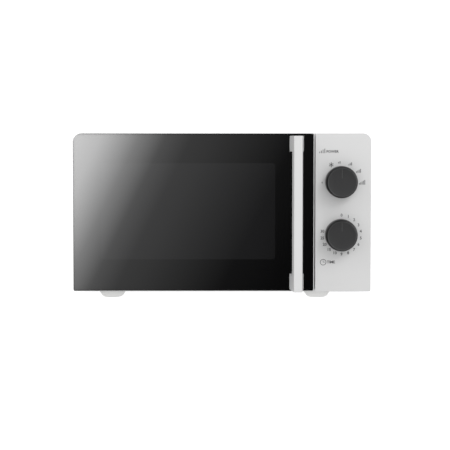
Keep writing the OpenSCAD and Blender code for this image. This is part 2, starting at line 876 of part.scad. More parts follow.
// Sliding bar with two hooks that reach through the front frame
module latch_slider() {
    y0 = slider_y + slider_t;
    color("white") {
        block([latch_x - 6, slider_y, hook_low - 12], [latch_x + 6, y0, hook_up + 12]);
        side(latch_x - hook_w / 2, latch_x + hook_w / 2) for (h = [hook_low, hook_up])
            polygon([[y0 - 1, h - 5], [hook_y - 6, h - 5], [hook_y - 6, h - 10],
                [hook_y, h - 6], [hook_y, h + 1], [y0 - 1, h + 3]]);
    }
}

// Coil spring between the trim's seat and the slider
spring_z0 = hook_low - 35.5;
spring_z1 = hook_low - 12;
coil_r = 3;
wire_r = 0.5;
turns = 8;
coil_steps = 12;
wire_sides = 6;
spring_rings = turns * coil_steps;

function spring_point(i, j) =
    let (a = 360 * i / coil_steps, b = 360 * j / wire_sides,
         z = spring_z0 + wire_r + (spring_z1 - spring_z0 - 2 * wire_r) * i / spring_rings)
    [latch_x + (coil_r + wire_r * cos(b)) * cos(a),
     slider_y + slider_t / 2 + (coil_r + wire_r * cos(b)) * sin(a), z + wire_r * sin(b)];

module latch_spring() {
    n = wire_sides;
    color("silver") polyhedron(
        points = [for (i = [0:spring_rings]) for (j = [0:n - 1]) spring_point(i, j)],
        faces = concat(
            [[for (j = [0:n - 1]) j]],
            [for (i = [0:spring_rings - 1]) for (j = [0:n - 1])
                [i * n + j, (i + 1) * n + j, (i + 1) * n + (j + 1) % n, i * n + (j + 1) % n]],
            [[for (j = [n - 1:-1:0]) spring_rings * n + j]]));
}

// ---- turntable ----

module turntable_motor() {
    z0 = z_low + sheet_t;
    z1 = cav_z0 - sheet_t - 1;
    color("silver") difference() {
        union() {
            rod_z(cav_xc, cav_yc, z0 + 1, z1, 24.5);
            block([cav_xc - 34, cav_yc - 6, z1 - 2], [cav_xc + 34, cav_yc + 6, z1]);
        }
        rod_z(cav_xc, cav_yc, z0 + 6, z1 + eps, 3.5 + run_gap);
    }
}

module drive_shaft() {
    color("silver") rod_z(cav_xc, cav_yc, z_low + 8, cav_z0 + 8, 3.5);
}

module coupler() {
    color("ivory") translate([cav_xc, cav_yc, cav_z0]) difference() {
        union() {
            translate([0, 0, 1]) cylinder(h = 14, r = hub_r);
            for (a = [0, 120, 240]) rotate(a)
                translate([0, -4, 8]) cube([24, 8, plate_z - cav_z0 - 8.5]);
        }
        translate([0, 0, 0]) cylinder(h = 8, r = 3.5 + run_gap);
    }
}

module roller_ring() {
    color("ivory") translate([cav_xc, cav_yc, cav_z0]) {
        translate([0, 0, 4]) difference() {
            cylinder(h = 7, r = track_r - 6);
            translate([0, 0, -1]) cylinder(h = 9, r = track_r - 14);
        }
        for (a = [90, 210, 330]) rotate(a) {
            rod_x(0, roller_r, track_r - 8, track_r + roller_w / 2 + 2.5, 2);
            rod_x(0, roller_r, track_r + roller_w / 2 + 1, track_r + roller_w / 2 + 2.5, 3);
        }
    }
}

module roller(a) {
    color("white") translate([cav_xc, cav_yc, cav_z0]) rotate(a) difference() {
        rod_x(0, roller_r, track_r - roller_w / 2, track_r + roller_w / 2, roller_r - 0.1);
        rod_x(0, roller_r, track_r - roller_w, track_r + roller_w, 2 + run_gap);
    }
}

module roller_a() { roller(90); }
module roller_b() { roller(210); }
module roller_c() { roller(330); }

module glass_plate() {
    r0 = plate_r - 24;
    color([0.75, 0.9, 0.88, 0.5]) translate([cav_xc, cav_yc, plate_z]) {
        rotate_extrude() polygon([[0, 0], [r0, 0], [plate_r, rim_h], [plate_r - 1, rim_h + 2],
            [plate_r - 3, rim_h + 2], [r0 - 2, plate_t], [0, plate_t]]);
        for (a = [60, 180, 300]) rotate(a) translate([14, -3, -3.5]) cube([6, 6, 4]);
    }
}

outer_case();
rear_panel();
base_plate();
front_frame();
latch_plate();
cavity();
waveguide();
waveguide_cover();
magnetron_anode();
magnetron_yoke();
transformer_core();
transformer_windings();
capacitor();
capacitor_strap();
hv_diode();
fan_shroud();
fan_motor();
fan_blade();
lamp_holder();
lamp_bulb();
thermal_cutouts();
filter_board();
fuse_holder();
power_switch();
timer_switch();
control_panel();
power_knob();
power_shaft();
timer_knob();
timer_shaft();
interlock_bracket();
interlock_lever();
microswitches();
primary_plunger();
secondary_plunger();
monitor_plunger();
hinge_brackets();
hinge_pins();
hinge_bushes();
door_glass();
door_trim();
door_steel();
choke_cover();
inner_film();
handle();
handle_screws();
latch_slider();
latch_spring();
turntable_motor();
drive_shaft();
coupler();
roller_ring();
roller_a();
roller_b();
roller_c();
glass_plate();
feet();
cord_grommet();
rear_spacers();
case_screws();
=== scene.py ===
"""Countertop microwave oven: looks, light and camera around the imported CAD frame.

Metres, Z up, and the front faces -Y.
"""

import json
import math

import bmesh
import bpy
from mathutils import Matrix, Vector


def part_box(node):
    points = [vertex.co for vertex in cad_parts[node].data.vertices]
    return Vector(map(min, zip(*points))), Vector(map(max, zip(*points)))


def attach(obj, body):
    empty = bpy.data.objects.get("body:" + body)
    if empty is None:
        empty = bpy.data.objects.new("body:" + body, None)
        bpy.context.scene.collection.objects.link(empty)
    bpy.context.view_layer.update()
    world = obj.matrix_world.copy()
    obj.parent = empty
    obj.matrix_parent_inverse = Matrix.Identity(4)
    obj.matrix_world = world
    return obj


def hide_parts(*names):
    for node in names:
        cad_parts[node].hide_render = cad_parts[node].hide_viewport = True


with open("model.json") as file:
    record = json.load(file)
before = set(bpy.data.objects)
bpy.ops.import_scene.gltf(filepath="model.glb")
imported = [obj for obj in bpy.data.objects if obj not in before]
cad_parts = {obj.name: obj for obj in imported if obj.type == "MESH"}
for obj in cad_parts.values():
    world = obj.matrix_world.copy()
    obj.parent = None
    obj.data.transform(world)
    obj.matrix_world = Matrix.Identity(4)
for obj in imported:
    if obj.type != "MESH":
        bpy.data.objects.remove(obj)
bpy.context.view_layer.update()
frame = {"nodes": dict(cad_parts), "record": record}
MM = 0.001
NODES = frame["nodes"]
NODE_SLOT = {part["node"]: part["material_slot"] for part in frame["record"]["subparts"]}

# ---- places, read from the frame ----
glass_lo, glass_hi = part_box("door_glass")
panel_lo, panel_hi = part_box("control_panel")
power_lo, power_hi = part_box("power_knob")
timer_lo, timer_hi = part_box("timer_knob")
film_lo, film_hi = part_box("inner_film")
screen_lo, screen_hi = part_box("door_steel")
trim_lo, trim_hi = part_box("door_trim")
handle_screws_lo, handle_screws_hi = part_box("handle_screws")
Y_FRONT = panel_lo.y                                   # front plane of the panel and the glass
POWER_AXIS = (power_lo + power_hi) / 2
TIMER_AXIS = (timer_lo + timer_hi) / 2
KNOB_R = (power_hi.x - power_lo.x) / 2
WINDOW_W, WINDOW_H, WINDOW_R = 257 * MM, 142 * MM, 4 * MM
WINDOW_X = (film_lo.x + film_hi.x) / 2
WINDOW_Z = (film_lo.z + film_hi.z) / 2
HANDLE_SCREW_HEAD_R = 4 * MM
HANDLE_SCREW_X = (handle_screws_lo.x + handle_screws_hi.x) / 2
HANDLE_SCREW_Z = (handle_screws_lo.z + HANDLE_SCREW_HEAD_R, handle_screws_hi.z - HANDLE_SCREW_HEAD_R)


# ---- camera, floor and lights ----

def aim(obj, target):
    obj.rotation_euler = (Vector(target) - obj.location).to_track_quat("-Z", "Y").to_euler()


CAMERA_DISTANCE = 1.67                                 # from the front plane
CAMERA_X, CAMERA_Z = 3.9 * MM, panel_hi.z - 2 * MM
FRONT_SLANT = Vector((-1, -0.5, 0)).normalized()


def make_camera():
    """Level with the oven's top and almost in front of its middle, so only the front shows."""
    tilt_down = math.radians(2.29)
    data = bpy.data.cameras.new("camera")
    data.sensor_width, data.lens = 36, 90.75
    data.shift_y = -0.1
    data.shift_x = 0.001
    cam = bpy.data.objects.new("camera", data)
    bpy.context.collection.objects.link(cam)
    cam.location = (CAMERA_X, Y_FRONT - CAMERA_DISTANCE, CAMERA_Z)
    cam.rotation_euler = (math.radians(90) - tilt_down, 0, 0)
    bpy.context.scene.camera = cam


def new_object(name, data):
    obj = bpy.data.objects.new(name, data)
    bpy.context.collection.objects.link(obj)
    return obj


def mesh_object(name, verts, faces, smooth=False):
    mesh = bpy.data.meshes.new(name)
    mesh.from_pydata(verts, [], faces)
    mesh.polygons.foreach_set("use_smooth", [smooth] * len(faces))
    mesh.update()
    return new_object(name, mesh)


def lathe(name, profile, steps):
    """Turns (radius, height) points round the Z axis. A radius of 0 closes to one point."""
    verts, faces, rings = [], [], []
    for r, h in profile:
        if r < 1e-9:
            rings.append([len(verts)] * steps)
            verts.append((0, 0, h))
        else:
            rings.append(list(range(len(verts), len(verts) + steps)))
            for i in range(steps):
                a = 2 * math.pi * i / steps
                verts.append((r * math.cos(a), r * math.sin(a), h))
    for low, high in zip(rings, rings[1:]):
        for i in range(steps):
            j = (i + 1) % steps
            quad = [low[i], low[j], high[j], high[i]]
            face = [v for k, v in enumerate(quad) if v not in quad[:k]]
            if len(face) > 2:
                faces.append(face)
    return mesh_object(name, verts, faces, True)


def backdrop_paper():
    """White paper, lit evenly from behind so that it keeps only a trace of the oven's shadow."""
    mat = plain("backdrop_paper", (0.3, 0.3, 0.3), 0.9)
    shader = mat.node_tree.nodes["Principled BSDF"]
    shader.inputs["Emission Color"].default_value = (1, 1, 1, 1)
    shader.inputs["Emission Strength"].default_value = 0.95
    return mat


def make_stage():
    """A pale floor that curves up into a wall all round, so that every view has the same backdrop."""
    flat, bend, height = 3.2, 1.6, 3.4
    arc = [(flat + bend * math.sin(a), bend * (1 - math.cos(a)))
           for a in (math.radians(d) for d in range(0, 91, 6))]
    bowl = lathe("backdrop", [(0, 0), (0.8, 0)] + arc + [(flat + bend, height)], 96)
    bowl.data.materials.append(backdrop_paper())
    bowl.visible_glossy = bowl.visible_diffuse = False


def area_light(name, place, target, size, watts):
    data = bpy.data.lights.new(name, "AREA")
    data.shape, data.size, data.size_y, data.energy = "RECTANGLE", size[0], size[1], watts
    light = new_object(name, data)
    light.location = place
    aim(light, target)


def make_lights():
    centre = (0, 0, 0.12)
    area_light("key_softbox", (0.9, -1.0, 1.15), centre, (0.7, 0.7), 8)
    area_light("fill_softbox", (-1.6, -0.7, 1.5), centre, (1.2, 1.2), 9)
    area_light("back_softbox", (0.6, 2.2, 1.8), centre, (1.8, 1.2), 8)
    world = bpy.data.worlds.new("studio")
    world.use_nodes = True
    background = world.node_tree.nodes["Background"]
    background.inputs["Color"].default_value = (1, 1, 1, 1)
    background.inputs["Strength"].default_value = 0.86
    world.cycles_visibility.glossy = False
    bpy.context.scene.world = world
    bpy.context.scene.view_settings.view_transform = "Standard"


def glow_material(name, strength, stops, direction, extent):
    """Light that runs through the stops from one side of a card to the other."""
    mat = bpy.data.materials.new(name)
    mat.use_nodes = True
    tree = mat.node_tree
    tree.nodes.clear()
    place = tree.nodes.new("ShaderNodeTexCoord")
    dot = tree.nodes.new("ShaderNodeVectorMath")
    reach = tree.nodes.new("ShaderNodeMapRange")
    ramp = tree.nodes.new("ShaderNodeValToRGB")
    glow = tree.nodes.new("ShaderNodeEmission")
    out = tree.nodes.new("ShaderNodeOutputMaterial")
    dot.operation = "DOT_PRODUCT"
    dot.inputs[1].default_value = direction
    reach.inputs["From Min"].default_value = -extent
    reach.inputs["From Max"].default_value = extent
    glow.inputs["Strength"].default_value = strength
    elements = ramp.color_ramp.elements
    for element, (at, level) in zip(elements, (stops[0], stops[-1])):
        element.position, element.color = at, (level, level, level, 1)
    for at, level in stops[1:-1]:
        elements.new(at).color = (level, level, level, 1)
    tree.links.new(place.outputs["Object"], dot.inputs[0])
    tree.links.new(dot.outputs["Value"], reach.inputs["Value"])
    tree.links.new(reach.outputs["Result"], ramp.inputs["Fac"])
    tree.links.new(ramp.outputs["Color"], glow.inputs["Color"])
    tree.links.new(glow.outputs["Emission"], out.inputs["Surface"])
    return mat


def glow_card(name, centre, size, facing, strength, stops, direction):
    """A sheet of light that shows only as a reflection. The direction is along its own axes."""
    half_x, half_y = size[0] / 2, size[1] / 2
    corners = [(-half_x, -half_y, 0), (half_x, -half_y, 0), (half_x, half_y, 0), (-half_x, half_y, 0)]
    extent = abs(direction[0]) * half_x + abs(direction[1]) * half_y
    card = mesh_object(name, corners, [(0, 1, 2, 3)])
    card.location = centre
    card.rotation_euler = Vector(facing).to_track_quat("Z", "Y").to_euler()
    card.data.materials.append(glow_material(name + "_glow", strength, stops, direction, extent))
    card.visible_camera = card.visible_diffuse = card.visible_transmission = False
    card.visible_shadow = False


def make_reflection_card():
    """A feathered softbox before the oven, seen only as the broad sheen on the door's glass."""
    stand_off = 2.0
    k = stand_off / CAMERA_DISTANCE
    eye = Vector((CAMERA_X, 0, CAMERA_Z))
    lo = glass_lo + (glass_lo - eye) * k
    hi = Vector((panel_hi.x, 0, glass_hi.z))
    hi = hi + (hi - eye) * k
    centre = ((lo.x + hi.x) / 2, Y_FRONT - stand_off, (lo.z + hi.z) / 2)
    # Fades along a slant, from the upper left to the lower right of the front.
    # The card faces +Y, so its own X runs against the room's X.
    sheen = ((0, 1.0), (0.08, 0.8), (0.18, 0.32), (0.25, 0.12), (0.32, 0.064), (0.37, 0.055),
             (0.45, 0.037), (0.53, 0.021), (0.6, 0.008), (0.73, 0.0035), (1, 0.0))
    size = (hi.x - lo.x, hi.z - lo.z)
    glow_card("front_card", centre, size, (0, 1, 0), 15.5, sheen, FRONT_SLANT)


def make_reflectors():
    """Large pale sheets beside, behind and above the oven, for its metal and glossy edges to mirror."""
    soft = ((0, 0.35), (0.5, 1.0), (1, 0.6))
    hump = ((0, 0.0), (0.35, 0.7), (0.6, 1.0), (1, 0.05))
    glow_card("right_card", (2.6, -0.2, 1.0), (3.2, 2.4), (-1, 0, -0.15), 2.2, soft, (0, 1, 0))
    glow_card("left_card", (-2.6, -0.2, 1.0), (3.2, 2.4), (1, 0, -0.15), 0.45, soft, (0, 1, 0))
    glow_card("rear_card", (0, 3.0, 1.1), (4.0, 2.6), (0, -1, -0.15), 0.75, soft, (0, 1, 0))
    glow_card("top_card", (0, 0.5, 3.0), (4.0, 3.4), (0, 0, -1), 0.8, soft, (1, 0, 0))
    glow_card("floor_card", (0, 1.8, 1 * MM), (7, 4), (0, 0, 1), 0.6, soft, (1, 0, 0))
    glow_card("front_right_card", (1.9, -1.9, 0.6), (1.3, 1.6), (-1, 1, 0), 3.0, hump, (1, 0, 0))
    glow_card("front_left_card", (-2.0, -1.8, 0.6), (1.3, 1.6), (1, 1, 0), 1.6, hump, (1, 0, 0))


# ---- materials ----

def plain(name, colour, rough):
    mat = bpy.data.materials.new(name)
    mat.use_nodes = True
    shader = mat.node_tree.nodes["Principled BSDF"]
    shader.inputs["Base Color"].default_value = (*colour, 1)
    shader.inputs["Roughness"].default_value = rough
    return mat


class Surface:
    """A Principled material whose colour, roughness and bump vary over the object."""

    def __init__(self, name, colour, rough, **sockets):
        self.mat = plain(name, colour, rough)
        self.tree = self.mat.node_tree
        self.shader = self.tree.nodes["Principled BSDF"]
        self.colour, self.rough = colour, rough
        self.normal = None
        for socket, value in sockets.items():
            self.shader.inputs[socket.replace("_", " ")].default_value = value
        self.place = self.node("ShaderNodeTexCoord").outputs["Object"]

    def feed(self, socket, value):
        """Links a socket to another one or gives it a fixed value."""
        if isinstance(value, bpy.types.NodeSocket):
            self.tree.links.new(value, socket)
        else:
            socket.default_value = value

    def node(self, kind, **inputs):
        made = self.tree.nodes.new(kind)
        for name, value in inputs.items():
            self.feed(made.inputs[name.replace("_", " ")], value)
        return made

    def vector_math(self, operation, *values):
        made = self.tree.nodes.new("ShaderNodeVectorMath")
        made.operation = operation
        for socket, value in zip(made.inputs, values):
            self.feed(socket, value)
        return made.outputs["Value" if operation == "LENGTH" else "Vector"]

    def stretched(self, scale):
        return self.node("ShaderNodeMapping", Vector=self.place, Scale=scale).outputs["Vector"]

    def noise(self, scale, detail=3.0, stretch=None, roughness=0.5):
        where = self.stretched(stretch) if stretch else self.place
        return self.node("ShaderNodeTexNoise", Vector=where, Scale=scale, Detail=detail,
                         Roughness=roughness).outputs["Fac"]

    def bands(self, scale, direction="Z", distortion=0.0):
        made = self.node("ShaderNodeTexWave", Vector=self.place, Scale=scale, Distortion=distortion)
        made.bands_direction = direction
        return made.outputs["Fac"]

    def cells(self, scale):
        made = self.node("ShaderNodeTexVoronoi", Vector=self.place, Scale=scale)
        return made.outputs["Distance"]

    def vary_colour(self, fac, spread=0.04, low=0.3, high=0.7, other=None):
        """Blends between a darker and a lighter tone of the colour, or towards another colour."""
        ramp = self.tree.nodes.new("ShaderNodeValToRGB")
        dark = other or tuple(c * (1 - spread) for c in self.colour)
        light = self.colour if other else tuple(min(1, c * (1 + spread)) for c in self.colour)
        first, last = ramp.color_ramp.elements
        first.position, first.color = low, (*dark, 1)
        last.position, last.color = high, (*light, 1)
        self.tree.links.new(fac, ramp.inputs["Fac"])
        self.tree.links.new(ramp.outputs["Color"], self.shader.inputs["Base Color"])
        return self

    def vary_rough(self, fac, spread=0.06):
        reach = self.node("ShaderNodeMapRange", Value=fac, To_Min=max(0.02, self.rough - spread),
                          To_Max=min(1, self.rough + spread))
        self.tree.links.new(reach.outputs["Result"], self.shader.inputs["Roughness"])
        return self

    def bump(self, height, strength=0.2, distance=0.1 * MM):
        made = self.node("ShaderNodeBump", Height=height, Strength=strength, Distance=distance)
        if self.normal:
            self.tree.links.new(self.normal, made.inputs["Normal"])
        self.normal = made.outputs["Normal"]
        self.tree.links.new(self.normal, self.shader.inputs["Normal"])
        return self


def moulded(name, colour, rough=0.42, grain=1500, spread=0.02, **sockets):
    """Moulded plastic: fine spark-eroded grain, faint unevenness of tone and gloss."""
    s = Surface(name, colour, rough, **sockets)
    s.vary_colour(s.noise(9), spread)
    s.vary_rough(s.noise(30, 4), 0.05)
    s.bump(s.noise(grain, 2), 0.25, 0.05 * MM)
    return s.mat


def coated(name, colour, rough=0.45, grain=700):
    """Powder coat on sheet steel: orange peel and a trace of dust."""
    s = Surface(name, colour, rough, Coat_Weight=0.15, Coat_Roughness=0.35)
    s.vary_colour(s.noise(5, 5), 0.025)
    s.vary_rough(s.noise(40, 3), 0.07)
    s.bump(s.noise(grain, 3), 0.3, 0.06 * MM)
    return s.mat


def galvanised():
    s = Surface("galvanised_sheet", (0.6, 0.62, 0.63), 0.38, Metallic=1.0)
    s.vary_colour(s.cells(150), 0.07, 0.0, 0.6)
    s.vary_rough(s.noise(120, 4), 0.12)
    s.bump(s.noise(500, 2), 0.15, 0.04 * MM)
    return s.mat


def turned_steel():
    s = Surface("turned_steel", (0.62, 0.62, 0.62), 0.28, Metallic=1.0)
    s.vary_colour(s.noise(300, 3), 0.06)
    s.vary_rough(s.noise(900, 2, stretch=(1, 0.05, 1)), 0.1)
    s.bump(s.noise(1500, 2, stretch=(1, 0.05, 1)), 0.15, 0.03 * MM)
    return s.mat


def rolled_aluminium():
    s = Surface("rolled_aluminium", (0.8, 0.8, 0.82), 0.3, Metallic=1.0)
    s.vary_colour(s.noise(60, 3), 0.04)
    s.vary_rough(s.noise(700, 2, stretch=(0.05, 1, 1)), 0.1)
    s.bump(s.noise(900, 2, stretch=(0.05, 1, 1)), 0.12, 0.03 * MM)
    return s.mat


def laminated_iron():
    s = Surface("laminated_iron", (0.16, 0.15, 0.15), 0.5, Metallic=0.6)
    s.vary_colour(s.noise(70, 4), 0.25)
    s.vary_rough(s.noise(50, 3), 0.12)
    s.bump(s.bands(700, "Y"), 0.5, 0.2 * MM)
    return s.mat


def wound_copper():
    s = Surface("wound_copper", (0.55, 0.22, 0.08), 0.3, Metallic=0.8, Coat_Weight=0.5)
    s.vary_colour(s.noise(200, 3), 0.15)
    s.vary_rough(s.noise(80, 3), 0.08)
    s.bump(s.bands(320, "Z", 0.6), 0.8, 0.4 * MM)
    return s.mat


def board_resin():
    s = Surface("board_resin", (0.12, 0.26, 0.09), 0.4)
    s.vary_colour(s.cells(180), 0.3, 0.2, 0.5, other=(0.05, 0.14, 0.04))
    s.vary_rough(s.noise(60, 2), 0.08)
    s.bump(s.cells(180), 0.2, 0.05 * MM)
    return s.mat


def mica():
    s = Surface("mica_sheet", (0.6, 0.5, 0.38), 0.35, Coat_Weight=0.3)
    s.vary_colour(s.noise(60, 6), 0.25)
    s.vary_rough(s.noise(90, 3), 0.12)
    s.bump(s.noise(60, 6), 0.3, 0.1 * MM)
    return s.mat


def tinted_glass(name, colour, rough, grain):
    """Clear glass or film with its own tint and a little smearing."""
    s = Surface(name, colour, rough, Transmission_Weight=1.0, IOR=1.5)
    s.vary_rough(s.noise(grain, 4), rough * 0.8)
    return s.mat


def window_mask(s):
    """1 inside the door's window and 0 on the printed border, with a round corner."""
    blur = 0.3 * MM
    straight = (WINDOW_W / 2 - WINDOW_R, 1, WINDOW_H / 2 - WINDOW_R)
    offset = s.vector_math("SUBTRACT", s.place, (WINDOW_X, 0, WINDOW_Z))
    beyond = s.vector_math("SUBTRACT", s.vector_math("ABSOLUTE", offset), straight)
    distance = s.vector_math("LENGTH", s.vector_math("MAXIMUM", beyond, (0, 0, 0)))
    edge = s.node("ShaderNodeMapRange", Value=distance, From_Min=WINDOW_R - blur,
                  From_Max=WINDOW_R + blur, To_Min=1, To_Max=0)
    return edge.outputs["Result"]


def black_glass():
    """Black gloss glass with a slightly paler smoked window and a trace of wiping marks."""
    s = Surface("door_black_glass", (0.0015, 0.0015, 0.0017), 0.02, IOR=1.5)
    s.vary_rough(s.noise(14, 5, stretch=(1, 1, 0.3)), 0.015)
    tone = s.node("ShaderNodeMix", Factor=window_mask(s))
    tone.data_type = "RGBA"
    colours = [socket for socket in tone.inputs if socket.type == "RGBA"]
    colours[0].default_value = (*s.colour, 1)
    colours[1].default_value = (0.0075, 0.0075, 0.008, 1)
    s.tree.links.new(tone.outputs[2], s.shader.inputs["Base Color"])
    return s.mat


def black_print():
    s = Surface("black_print", (0.004, 0.004, 0.0045), 0.5, Specular_IOR_Level=0.2)
    s.vary_colour(s.noise(40, 3), 0.2)
    s.vary_rough(s.noise(300, 2), 0.1)
    return s.mat


def screen_enamel():
    s = Surface("screen_enamel", (0.035, 0.035, 0.037), 0.45)
    s.vary_colour(s.noise(50, 3), 0.1)
    s.vary_rough(s.noise(200, 2), 0.1)
    s.bump(s.noise(800, 2), 0.2, 0.04 * MM)
    return s.mat


# The knob's side and shoulder: near-black, darker than the grey of the face, as painted shade.
def knob_rim():
    s = Surface("knob_rim", (0.009, 0.009, 0.0095), 0.4, Specular_IOR_Level=0.35)
    s.vary_colour(s.noise(60, 2), 0.1)
    s.vary_rough(s.noise(200, 3), 0.06)
    s.bump(s.noise(1300, 2), 0.2, 0.04 * MM)
    return s.mat


def panel_ink():
    s = Surface("panel_ink", (0.035, 0.035, 0.037), 0.5)
    s.vary_colour(s.noise(900, 3), 0.2)
    s.vary_rough(s.noise(600, 2), 0.1)
    return s.mat


MATERIALS = {
    "case_paint": coated("case_paint", (0.72, 0.72, 0.71)),
    "frame_paint": coated("frame_paint", (0.74, 0.74, 0.73), 0.4),
    "cavity_paint": coated("cavity_paint", (0.6, 0.61, 0.6), 0.35, 500),
    "galvanised_sheet": galvanised(),
    "mica_sheet": mica(),
    "fin_aluminium": rolled_aluminium(),
    "core_iron": laminated_iron(),
    "enamel_wire": wound_copper(),
    "duct_plastic": moulded("duct_plastic", (0.72, 0.7, 0.62), 0.5),
    "black_plastic": moulded("black_plastic", (0.02, 0.02, 0.021), 0.4, spread=0.2),
    "red_plastic": moulded("red_plastic", (0.5, 0.03, 0.02), 0.3),
    "bulb_glass": tinted_glass("bulb_glass", (0.95, 0.92, 0.85), 0.04, 30),
    "board_resin": board_resin(),
    "panel_white": moulded("panel_white", (0.66, 0.66, 0.66), 0.46),
    "trim_white": moulded("trim_white", (0.66, 0.66, 0.66), 0.46),
    "handle_white": moulded("handle_white", (0.71, 0.71, 0.71), 0.32, 1100, Coat_Weight=0.2),
    "knob_grey": moulded("knob_grey", (0.031, 0.031, 0.032), 0.55, 1300, 0.1),
    "shaft_steel": turned_steel(),
    "door_black_glass": black_glass(),
    "screen_steel": screen_enamel(),
    "choke_plastic": moulded("choke_plastic", (0.035, 0.035, 0.037), 0.45, spread=0.1),
    "clear_film": tinted_glass("clear_film", (0.92, 0.93, 0.93), 0.05, 12),
    "plate_glass": tinted_glass("plate_glass", (0.94, 0.985, 0.975), 0.03, 18),
    "ring_plastic": moulded("ring_plastic", (0.78, 0.77, 0.74), 0.4),
    "foot_plastic": moulded("foot_plastic", (0.8, 0.8, 0.79), 0.5),
    "black_print": black_print(),
    "panel_ink": panel_ink(),
    # Side of the knobs: painted shade.
    "knob_rim": knob_rim(),
    # Rim's edge of the knobs: a lighter grey as painted highlight; the pointer ridge shares this grey.
    "knob_edge_highlight_and_pointer": moulded("knob_edge_highlight_and_pointer", (0.065, 0.065, 0.066), 0.45, 1300, 0.1),
}


def finish_with(obj, slot):
    obj.data.materials.clear()
    obj.data.materials.append(MATERIALS[slot])


# ---- edges of the CAD nodes ----

# Width of each node's rounded edges, in millimetres
SOFT_EDGES = {"outer_case": 0.4, "control_panel": 1.0, "door_trim": 0.4, "handle": 2.4, "door_glass": 0.5,
              "power_knob": 0.5, "timer_knob": 0.5, "feet": 0.8, "choke_cover": 0.8, "glass_plate": 0.8,
              "roller_ring": 0.5, "coupler": 0.6, "cavity": 0.3, "front_frame": 0.25,
              "latch_plate": 0.25, "rear_panel": 0.25, "rear_spacers": 0.6, "cord_grommet": 0.6}


SEAM = 0.005 * MM                                      # vertices closer than this are one
SMALL_EDGE = 2                                         # in millimetres; wider ones take more segments


def soften(obj, width):
    """Merges the mesh's seams, joins its flat triangles and rounds its sharp edges."""
    weld = obj.modifiers.new("weld", "WELD")
    weld.merge_threshold = SEAM
    flat = obj.modifiers.new("flat", "DECIMATE")
    flat.decimate_type = "DISSOLVE"
    flat.angle_limit = math.radians(0.5)
    round_off = obj.modifiers.new("round", "BEVEL")
    round_off.width = width * MM
    round_off.segments = 2 if width < SMALL_EDGE else 4
    round_off.limit_method = "ANGLE"
    round_off.angle_limit = math.radians(35)
    round_off.harden_normals = False
    even = obj.modifiers.new("even", "WEIGHTED_NORMAL")
    even.keep_sharp = True


def dress_cad():
    for name, obj in NODES.items():
        finish_with(obj, NODE_SLOT[name])
        if name in SOFT_EDGES:
            soften(obj, SOFT_EDGES[name])


# ---- mesh helpers for the added pieces ----

def bm_object(name, bm, body, slots, smooth_angle=None):
    """Turns a bmesh in the room's frame into a piece that rides on a body."""
    bmesh.ops.recalc_face_normals(bm, faces=bm.faces)
    mesh = bpy.data.meshes.new(name)
    bm.to_mesh(mesh)
    bm.free()
    obj = new_object(name, mesh)
    for slot in slots:
        mesh.materials.append(MATERIALS[slot])
    if smooth_angle:
        mesh.polygons.foreach_set("use_smooth", [True] * len(mesh.polygons))
        mesh.set_sharp_from_angle(angle=math.radians(smooth_angle))
    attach(obj, body)
    return obj


def loop_edges(bm, verts):
    """The edges of a closed ring of vertices, made where they are missing."""
    pairs = zip(verts, verts[1:] + verts[:1])
    return [bm.edges.get(pair) or bm.edges.new(pair) for pair in pairs]


def extrude_flat(bm, outline, y_back, y_front, holes=()):
    """Adds a thin plate with an outline in X and Z, from y_back to y_front, and rings cut out of it."""
    edges = []
    for loop in [outline] + list(holes):
        edges += loop_edges(bm, [bm.verts.new((x, y_back, z)) for x, z in loop])
    filled = bmesh.ops.triangle_fill(bm, use_beauty=True, use_dissolve=False, edges=edges)
    faces = [f for f in filled["geom"] if isinstance(f, bmesh.types.BMFace)]
    grown = bmesh.ops.extrude_face_region(bm, geom=faces)
    moved = [v for v in grown["geom"] if isinstance(v, bmesh.types.BMVert)]
    bmesh.ops.translate(bm, verts=moved, vec=(0, y_front - y_back, 0))


def ring_points(cx, cz, r, steps=24):
    return [(cx + r * math.cos(2 * math.pi * i / steps), cz + r * math.sin(2 * math.pi * i / steps))
            for i in range(steps)]


def rounded_points(lo, hi, r, steps=6):
    """Outline of a rectangle with round corners.

    r is one radius, or one for each corner, anticlockwise from the top right.
    """
    radii = r if isinstance(r, tuple) else (r,) * 4
    corners = ((hi[0], hi[1]), (lo[0], hi[1]), (lo[0], lo[1]), (hi[0], lo[1]))
    points = []
    for quarter, ((x, z), radius) in enumerate(zip(corners, radii)):
        sx, sz = (-1 if x == hi[0] else 1), (-1 if z == hi[1] else 1)
        for i in range(steps + 1):
            a = math.pi / 2 * (quarter + i / steps)
            points.append((x + sx * radius + radius * math.cos(a),
                           z + sz * radius + radius * math.sin(a)))
    return points


# ---- knobs ----

KNOB_FACE_R = KNOB_R - 2.7 * MM                        # inside the bevelled rim
KNOB_FACE_DROP = 0.35 * MM                             # the face lies this far below the rim
KNOB_POINTER = (6 * MM, KNOB_FACE_R - 1.5 * MM)        # its inner and outer end


def knob_profile(height):
    """Radii and heights from the hub's middle over the hollow back and the side to the face."""
    hub_r, bore_r, wall_r = 3.1 * MM, 7 * MM, KNOB_R - 2.3 * MM
    hub_top, hollow_top = height - 3 * MM, height - 5 * MM
    face = height - KNOB_FACE_DROP
    back = [(0, hub_top), (hub_r, hub_top), (hub_r, 0), (bore_r, 0), (bore_r, hollow_top),
            (wall_r, hollow_top), (wall_r, 0), (KNOB_R - 0.25 * MM, 0), (KNOB_R, 0.5 * MM)]
    # In millimetres, from the side and from the top
    rounding = ((0, 5.6), (0.12, 4.6), (0.5, 3.4), (1.1, 2.2), (1.9, 1.1))
    shoulder = [(KNOB_R - inward * MM, height - down * MM) for inward, down in rounding]
    rim = [(KNOB_FACE_R + 0.45 * MM, height - 0.45 * MM), (KNOB_FACE_R + 0.2 * MM, height - 0.3 * MM),
           (KNOB_FACE_R - 0.1 * MM, height - 0.38 * MM)]
    dish = [(KNOB_FACE_R - 0.5 * MM, face - 0.15 * MM), (KNOB_FACE_R * 0.5, face - 0.25 * MM),
            (0, face - 0.3 * MM)]
    return back + shoulder + rim + dish


